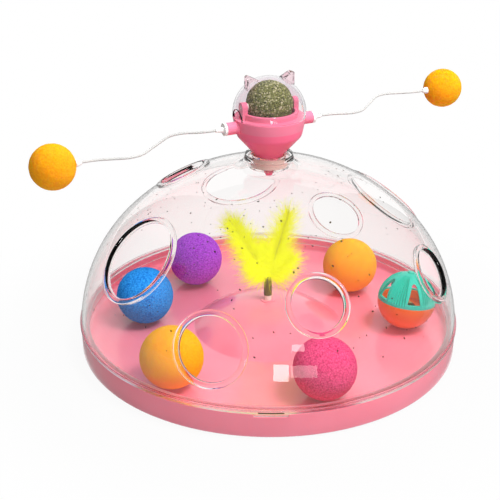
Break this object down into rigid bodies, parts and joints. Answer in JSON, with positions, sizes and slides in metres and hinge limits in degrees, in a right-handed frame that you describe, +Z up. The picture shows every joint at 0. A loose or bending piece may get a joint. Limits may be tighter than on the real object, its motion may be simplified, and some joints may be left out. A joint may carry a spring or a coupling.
{
  "type": "cat puzzle feeder",
  "caption": "Clear dome with lipped paw holes on a shallow round tray of loose play balls and a feather, topped by a spinning cup with a covered catnip ball and wire ball arms.",
  "frame": {"origin": "on the table under the centre of the tray", "axes": "+Z up along the axis of the tray, dome and spinner; -Y towards the viewer of the picture; +X to their right"},
  "size_m": [0.269, 0.2512, 0.1807],
  "materials": {
    "tray_pink": "moulded plastic, soft sheen",
    "foot_rubber": "soft grey rubber",
    "dome_clear": "clear polished plastic",
    "hub_pink": "moulded plastic, soft sheen",
    "catnip": "pressed dried herb, rough",
    "cream_plastic": "moulded plastic",
    "cover_clear": "clear polished plastic",
    "white_plastic": "moulded plastic",
    "coated_wire": "white coating on spring wire",
    "wing_foam": "short pile over foam",
    "sleeve_olive": "soft tube",
    "quill": "natural quill",
    "feather_yellow": "fluffy dyed feather",
    "plush_blue": "short plush",
    "plush_purple": "short plush",
    "plush_pink": "short plush",
    "ball_orange": "smooth matt ball",
    "bell_teal": "moulded plastic with cut windows",
    "bell_orange": "moulded plastic",
    "bell_metal": "bright stamped metal",
    "pellet_steel": "steel"
  },
  "bodies": {
    "base": {"base_tray": "tray_pink", "foot_pads": "foot_rubber"},
    "dome": {"dome_cover": "dome_clear", "neck_bushing": "cream_plastic"},
    "rotor": {"hub_cup": "hub_pink", "hub_spindle": "hub_pink", "wire_ferrule_left": "white_plastic", "wire_ferrule_right": "white_plastic", "arm_wire_left": "coated_wire", "arm_wire_right": "coated_wire", "ball_cap_left": "white_plastic", "ball_cap_right": "white_plastic", "wing_ball_left": "wing_foam", "wing_ball_right": "wing_foam"},
    "catnip": {"catnip_ball": "catnip", "catnip_axle": "cream_plastic"},
    "cover": {"catnip_cover": "cover_clear"},
    "feather": {"feather_plug": "cream_plastic", "feather_sleeve": "sleeve_olive", "feather_quills": "quill", "feather_plume_left": "feather_yellow", "feather_plume_right": "feather_yellow"},
    "ball_blue": {"plush_ball_blue": "plush_blue"},
    "ball_purple": {"plush_ball_purple": "plush_purple"},
    "ball_pink": {"plush_ball_pink": "plush_pink"},
    "ball_front": {"bounce_ball_front": "ball_orange"},
    "ball_rear": {"bounce_ball_rear": "ball_orange"},
    "ball_bell": {"bell_ball_upper": "bell_teal", "bell_ball_lower": "bell_orange"},
    "jingle": {"jingle_bell": "bell_metal", "bell_pellet": "pellet_steel"}
  },
  "joints": [
    {"name": "dome_lift", "type": "slide", "parent": "base", "child": "dome", "axis": [0, 0, 1], "range_m": [0, 0.12]},
    {"name": "rotor_spin", "type": "hinge", "parent": "dome", "child": "rotor", "pos_m": [0, 0, 0.1215], "axis": [0, 0, 1], "continuous": true},
    {"name": "catnip_spin", "type": "hinge", "parent": "rotor", "child": "catnip", "pos_m": [0, 0, 0.1613], "axis": [0.9063, 0.4226, 0], "continuous": true},
    {"name": "cover_lift", "type": "slide", "parent": "rotor", "child": "cover", "axis": [0, 0, 1], "range_m": [0, 0.05]},
    {"name": "feather_pull", "type": "slide", "parent": "base", "child": "feather", "axis": [0, 0, 1], "range_m": [0, 0.012]},
    {"name": "ball_blue_roll", "type": "hinge", "parent": "base", "child": "ball_blue", "pos_m": [0, 0, 0], "axis": [0, 0, 1], "range_deg": [-9, 14]},
    {"name": "ball_purple_roll", "type": "hinge", "parent": "base", "child": "ball_purple", "pos_m": [0, 0, 0], "axis": [0, 0, 1], "range_deg": [-30, 9]},
    {"name": "ball_pink_roll", "type": "hinge", "parent": "base", "child": "ball_pink", "pos_m": [0, 0, 0], "axis": [0, 0, 1], "range_deg": [-16, 20]},
    {"name": "ball_front_roll", "type": "hinge", "parent": "base", "child": "ball_front", "pos_m": [0, 0, 0], "axis": [0, 0, 1], "range_deg": [-14, 16]},
    {"name": "ball_rear_roll", "type": "hinge", "parent": "base", "child": "ball_rear", "pos_m": [0, 0, 0], "axis": [0, 0, 1], "range_deg": [-8, 30]},
    {"name": "ball_bell_roll", "type": "hinge", "parent": "base", "child": "ball_bell", "pos_m": [0, 0, 0], "axis": [0, 0, 1], "range_deg": [-20, 8]},
    {"name": "jingle_bounce", "type": "slide", "parent": "ball_bell", "child": "jingle", "axis": [0, 0, 1], "range_m": [0, 0.014]}
  ]
}
